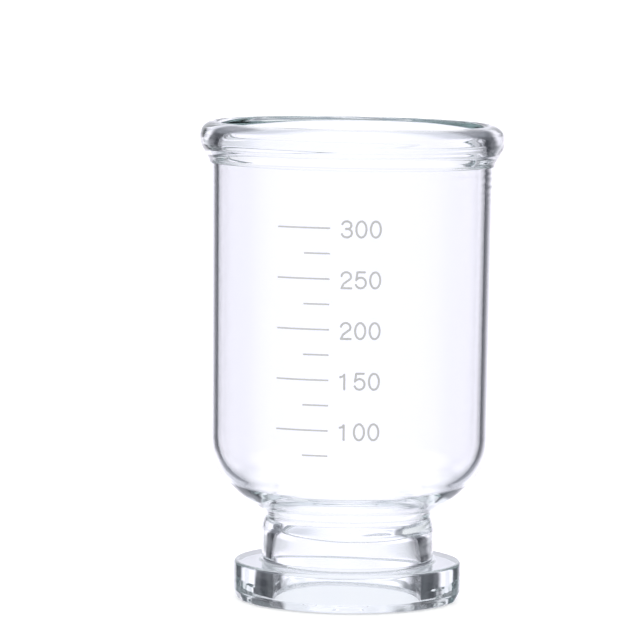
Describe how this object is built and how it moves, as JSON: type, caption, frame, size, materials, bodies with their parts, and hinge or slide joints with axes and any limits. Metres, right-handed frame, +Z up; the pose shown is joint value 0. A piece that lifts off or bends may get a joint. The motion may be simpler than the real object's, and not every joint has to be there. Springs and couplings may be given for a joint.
{
  "type": "graduated flanged filter cup",
  "caption": "Clear glass filtration cup, open at both ends: graduated bowl with a beaded rim, short neck and a thick ground flange that clamps over a membrane base.",
  "frame": {"origin": "centre of the flange's ground under face", "axes": "+Z up along the axis of the cup, towards the rim; the printed scale faces -Y"},
  "size_m": [0.08, 0.08, 0.1256],
  "materials": {
    "bowl_glass": "polished",
    "foot_glass": "polished",
    "line_enamel": "satin",
    "numeral_enamel": "satin"
  },
  "bodies": {
    "root": {"glass_bowl": "bowl_glass", "flange_foot": "foot_glass", "scale_line_300": "line_enamel", "scale_line_275": "line_enamel", "scale_line_250": "line_enamel", "scale_line_225": "line_enamel", "scale_line_200": "line_enamel", "scale_line_175": "line_enamel", "scale_line_150": "line_enamel", "scale_line_125": "line_enamel", "scale_line_100": "line_enamel", "scale_line_75": "line_enamel", "numeral_300_hundreds": "numeral_enamel", "numeral_300_tens": "numeral_enamel", "numeral_300_units": "numeral_enamel", "numeral_250_hundreds": "numeral_enamel", "numeral_250_tens": "numeral_enamel", "numeral_250_units": "numeral_enamel", "numeral_200_hundreds": "numeral_enamel", "numeral_200_tens": "numeral_enamel", "numeral_200_units": "numeral_enamel", "numeral_150_hundreds": "numeral_enamel", "numeral_150_tens": "numeral_enamel", "numeral_150_units": "numeral_enamel", "numeral_100_hundreds": "numeral_enamel", "numeral_100_tens": "numeral_enamel", "numeral_100_units": "numeral_enamel"}
  },
  "joints": []
}
